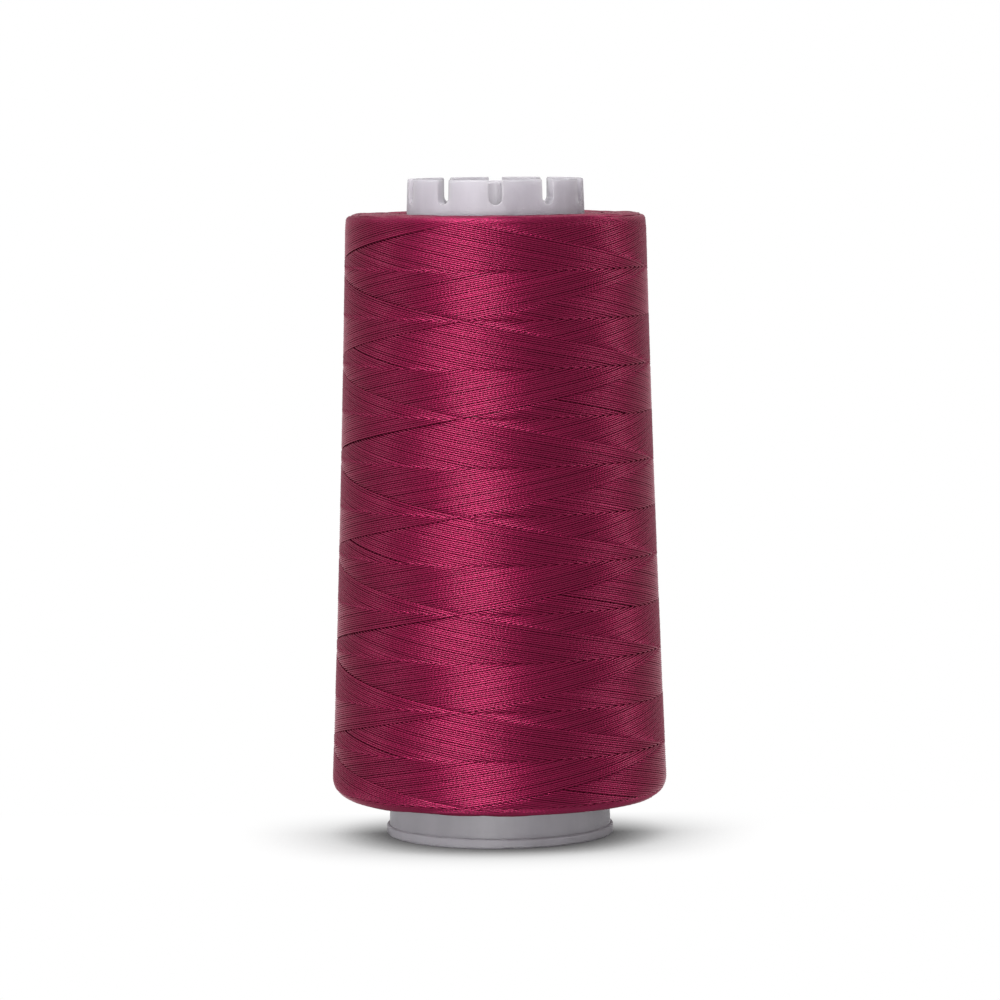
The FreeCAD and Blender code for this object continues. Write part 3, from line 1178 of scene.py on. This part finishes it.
@dataclass
class Studio:
    """The pale floor, the white surroundings, the soft lamps and the camera.

    The camera's angles are in radians, and its lens and sensor in millimetres.
    """

    sweep: PaleSweep = field(default_factory=PaleSweep)
    floor_half: float = 4.5
    air_tint: Triple = (0.97, 0.98, 1.0)
    ambient: float = 0.13
    white: Triple = (1.0, 1.0, 1.0)
    mirrored_share: float = 0.5
    aim: Triple = (0.0, 0.0, 0.05)
    lamps: tuple[SoftLamp, ...] = (
        SoftLamp("key_softbox", -27.0, 41.0, 0.60, 0.36, 9.7),
        SoftLamp("low_front_card", -15.0, 0.5, 0.60, 0.09, 5.8),
        SoftLamp("top_softbox", -90.0, 88.0, 0.90, 0.90, 2.2),
        SoftLamp("left_strip", -91.0, 22.0, 0.25, 0.60, 1.6),
        SoftLamp("right_strip", 97.0, 22.0, 0.25, 0.60, 2.6),
        SoftLamp("back_softbox", 178.0, 50.0, 0.80, 0.60, 2.2),
    )
    eye: Triple = (0.0, -0.700, 0.11007)
    pitch: float = 0.0853
    yaw: float = -0.0005
    roll: float = -0.0075
    lens: float = 168.52
    sensor: float = 36.0
    nearest: float = 0.01
    furthest: float = 50.0

    def lay_floor(self) -> None:
        """Lays the floor at the foot's level."""
        half = self.floor_half
        rim = [(-half, -half, 0.0), (half, -half, 0.0), (half, half, 0.0), (-half, half, 0.0)]
        mesh = bpy.data.meshes.new("studio_floor")
        mesh.from_pydata(rim, [], [(0, 1, 2, 3)])
        mesh.materials.append(self.sweep.build())
        floor = placed("studio_floor", mesh)

    def light_world(self) -> None:
        """Sets an even light all round, which the camera sees as white."""
        world = bpy.data.worlds.new("studio_air")
        board = NodeBoard(world)
        dim = board.fed("ShaderNodeBackground", (*self.air_tint, 1.0), self.ambient)
        white = board.fed("ShaderNodeBackground", (*self.white, 1.0), 1.0)
        board.close(board.mixed(board.sight(self.mirrored_share, 0.0), dim, white))
        bpy.context.scene.world = world

    def set_camera(self) -> None:
        """Sets the camera at the photograph's viewing angle."""
        data = bpy.data.cameras.new("front_camera")
        data.lens = self.lens
        data.sensor_width = self.sensor
        data.clip_start = self.nearest
        data.clip_end = self.furthest
        camera = placed("front_camera", data)
        tilt = Matrix.Rotation(0.5 * math.pi - self.pitch, 4, "X")
        turn = Matrix.Rotation(self.yaw, 4, "Z") @ tilt @ Matrix.Rotation(self.roll, 4, "Z")
        camera.matrix_world = Matrix.Translation(Vector(self.eye)) @ turn
        bpy.context.scene.camera = camera

    def build(self) -> None:
        """Sets up the whole studio."""
        bpy.context.scene.view_settings.view_transform = "Standard"
        self.light_world()
        self.set_camera()
        self.lay_floor()
        for lamp in self.lamps:
            lamp.build(Vector(self.aim))


def dimmed(colour: Triple, share: float) -> Triple:
    """Gives a colour with only a share of its brightness."""
    return tuple(channel * share for channel in colour)


def lengths_along(radius: Array, height: Array) -> Array:
    """Gives how far along its line each point lies, from 0 at the first."""
    return np.concatenate([[0.0], np.cumsum(np.hypot(np.diff(radius), np.diff(height)))])


def turned(radius: Values, azimuth: Array, height: Values) -> Array:
    """Places points, or directions, about the tube's axis.

    Args:
        radius: how far each is from the axis.
        azimuth: how far each is turned from the front, in turns.
        height: the height of each.

    Returns:
        Their x, y and z, along the last axis.
    """
    angle = TURN * azimuth
    parts = np.broadcast_arrays(radius * np.sin(angle), -radius * np.cos(angle), height)
    return np.stack(parts, axis=-1)


def placed(name: str, data: bpy.types.ID) -> Piece:
    """Puts a new object in the scene.

    Args:
        name: the object's name.
        data: its mesh, lamp or camera.

    Returns:
        The object.
    """
    made = bpy.data.objects.new(name, data)
    bpy.context.scene.collection.objects.link(made)
    return made


def shaped(name: str, points: Array, quads: Array, maps: dict[str, Array]) -> Piece:
    """Makes a smooth mesh and puts it in the scene.

    Args:
        name: the piece's name.
        points: its points.
        quads: the points of each face.
        maps: the UV maps by name, with the places of each face's corners. The last is active.

    Returns:
        The piece.
    """
    mesh = bpy.data.meshes.new(name)
    mesh.from_pydata(points, [], quads)
    for title, places in maps.items():
        layer = mesh.uv_layers.new(name=title, do_init=False)
        layer.uv.foreach_set("vector", places.astype(np.float32).ravel())
        mesh.uv_layers.active = layer
    mesh.shade_smooth()
    return placed(name, mesh)


def wear(piece: Piece, material: bpy.types.Material) -> Piece:
    """Puts one material on every slot of a CAD node.

    Args:
        piece: the node's object.
        material: its new finish.

    Returns:
        The same object.
    """
    if not piece.material_slots:
        piece.data.materials.append(material)
    for slot in piece.material_slots:
        slot.material = material
    return piece


def main() -> None:
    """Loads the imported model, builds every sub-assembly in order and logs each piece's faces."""
    logging.basicConfig(level=logging.INFO, format="%(name)s: %(message)s")
    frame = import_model()
    Studio().build()
    sub_assemblies = (
        CoreTube().build(frame["nodes"]),
        BaseLabel().build(frame["nodes"]),
        WoundThread().build(),
    )
    for pieces in sub_assemblies:
        for piece in pieces:
            LOG.info("%s: %d faces", piece.name, len(piece.data.polygons))


if __name__ == "__main__":
    main()
